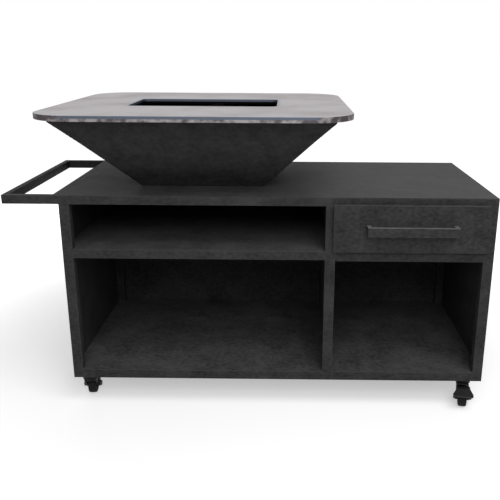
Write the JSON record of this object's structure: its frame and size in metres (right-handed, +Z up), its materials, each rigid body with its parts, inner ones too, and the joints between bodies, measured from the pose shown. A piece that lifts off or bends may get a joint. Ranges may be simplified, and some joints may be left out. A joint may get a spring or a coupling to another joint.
{
  "type": "fire pit with grate",
  "caption": "Outdoor fire bowl with a bare steel cooking plate and lift-out grate, bolted on a black tube-frame cabinet with open bays, a drawer, a push handle and braked casters.",
  "frame": {"origin": "on the floor under the middle of the whole object", "axes": "+X to the right seen from the open front, away from the push handle; +Y from the open front to the back; +Z up"},
  "size_m": [1.637, 0.93, 1.048],
  "materials": {
    "cabinet_black": "satin black powder coat",
    "bowl_black": "matt black heat-resistant coat",
    "plate_steel": "bare ground steel",
    "grate_steel": "scaled black steel",
    "tyre_rubber": "black rubber",
    "hub_plastic": "dark moulded plastic",
    "caster_steel": "black pressed steel",
    "runner_zinc": "bright zinc plate",
    "fastener_steel": "black oxide"
  },
  "bodies": {
    "cabinet": {"back_sheet": "cabinet_black", "bowl_bolts": "fastener_steel", "bowl_floor": "bowl_black", "bowl_front_wall": "bowl_black", "bowl_left_wall": "bowl_black", "bowl_rear_wall": "bowl_black", "bowl_right_wall": "bowl_black", "caster_plates": "caster_steel", "caster_screws": "fastener_steel", "centre_post": "cabinet_black", "corner_gussets": "cabinet_black", "cross_rails": "cabinet_black", "divider_sheet": "cabinet_black", "floor_sheet": "cabinet_black", "front_left_post": "cabinet_black", "front_rails": "cabinet_black", "front_right_post": "cabinet_black", "left_side_sheet": "cabinet_black", "push_handle_bolts": "fastener_steel", "push_handle_front_arm": "cabinet_black", "push_handle_grip": "cabinet_black", "push_handle_mount": "cabinet_black", "push_handle_rear_arm": "cabinet_black", "rear_posts": "cabinet_black", "rear_rails": "cabinet_black", "right_side_sheet": "cabinet_black", "runner_bearers": "cabinet_black", "runner_cabinet_members": "runner_zinc", "shelf_sheet": "cabinet_black", "worktop_sheet": "cabinet_black"},
    "plate": {"cooking_plate": "plate_steel", "plate_lugs": "plate_steel"},
    "grate": {"grate_frame": "grate_steel", "grate_bars": "grate_steel"},
    "drawer": {"drawer_front": "cabinet_black", "drawer_bottom": "cabinet_black", "drawer_sides": "cabinet_black", "drawer_ends": "cabinet_black", "drawer_handle": "cabinet_black", "drawer_handle_screws": "fastener_steel", "runner_drawer_members": "runner_zinc"},
    "runner_middles": {"runner_middle_members": "runner_zinc"},
    "front_left_fork": {"front_left_axle_bolt": "fastener_steel", "front_left_caster_fork": "caster_steel"},
    "front_left_wheel": {"front_left_tyre": "tyre_rubber", "front_left_wheel_hub": "hub_plastic"},
    "front_left_pedal": {"front_left_brake_pedal": "caster_steel"},
    "front_right_fork": {"front_right_axle_bolt": "fastener_steel", "front_right_caster_fork": "caster_steel"},
    "front_right_wheel": {"front_right_tyre": "tyre_rubber", "front_right_wheel_hub": "hub_plastic"},
    "front_right_pedal": {"front_right_brake_pedal": "caster_steel"},
    "rear_left_fork": {"rear_left_axle_bolt": "fastener_steel", "rear_left_caster_fork": "caster_steel"},
    "rear_left_wheel": {"rear_left_tyre": "tyre_rubber", "rear_left_wheel_hub": "hub_plastic"},
    "rear_right_fork": {"rear_right_axle_bolt": "fastener_steel", "rear_right_caster_fork": "caster_steel"},
    "rear_right_wheel": {"rear_right_tyre": "tyre_rubber", "rear_right_wheel_hub": "hub_plastic"}
  },
  "joints": [
    {"name": "plate_lift", "type": "slide", "parent": "cabinet", "child": "plate", "axis": [0, 0, 1], "range_m": [0, 0.4]},
    {"name": "grate_lift", "type": "slide", "parent": "cabinet", "child": "grate", "axis": [0, 0, 1], "range_m": [0, 0.36]},
    {"name": "drawer_slide", "type": "slide", "parent": "cabinet", "child": "drawer", "axis": [0, -1, 0], "range_m": [0, 0.48]},
    {"name": "runner_middle_slide", "type": "slide", "parent": "cabinet", "child": "runner_middles", "axis": [0, -1, 0], "range_m": [0, 0.24]},
    {"name": "front_left_swivel", "type": "hinge", "parent": "cabinet", "child": "front_left_fork", "pos_m": [-0.5915, -0.273, 0.108], "axis": [0, 0, 1], "continuous": true},
    {"name": "front_left_wheel_spin", "type": "hinge", "parent": "front_left_fork", "child": "front_left_wheel", "pos_m": [-0.59464, -0.23714, 0.035], "axis": [-0.9962, -0.0872, 0], "continuous": true},
    {"name": "front_left_brake_press", "type": "hinge", "parent": "front_left_fork", "child": "front_left_pedal", "pos_m": [-0.59464, -0.23714, 0.035], "axis": [-0.9962, -0.0872, 0], "range_deg": [0, 14]},
    {"name": "front_right_swivel", "type": "hinge", "parent": "cabinet", "child": "front_right_fork", "pos_m": [0.7685, -0.273, 0.108], "axis": [0, 0, 1], "continuous": true},
    {"name": "front_right_wheel_spin", "type": "hinge", "parent": "front_right_fork", "child": "front_right_wheel", "pos_m": [0.76225, -0.30845, 0.035], "axis": [0.9848, -0.1736, 0], "continuous": true},
    {"name": "front_right_brake_press", "type": "hinge", "parent": "front_right_fork", "child": "front_right_pedal", "pos_m": [0.76225, -0.30845, 0.035], "axis": [0.9848, -0.1736, 0], "range_deg": [0, 14]},
    {"name": "rear_left_swivel", "type": "hinge", "parent": "cabinet", "child": "rear_left_fork", "pos_m": [-0.5915, 0.273, 0.108], "axis": [0, 0, 1], "continuous": true},
    {"name": "rear_left_wheel_spin", "type": "hinge", "parent": "rear_left_fork", "child": "rear_left_wheel", "pos_m": [-0.5915, 0.309, 0.035], "axis": [-1, 0, 0], "continuous": true},
    {"name": "rear_right_swivel", "type": "hinge", "parent": "cabinet", "child": "rear_right_fork", "pos_m": [0.7685, 0.273, 0.108], "axis": [0, 0, 1], "continuous": true},
    {"name": "rear_right_wheel_spin", "type": "hinge", "parent": "rear_right_fork", "child": "rear_right_wheel", "pos_m": [0.7685, 0.309, 0.035], "axis": [-1, 0, 0], "continuous": true}
  ],
  "couplings": [
    {"joint": "runner_middle_slide", "follows": "drawer_slide", "ratio": 0.5}
  ]
}
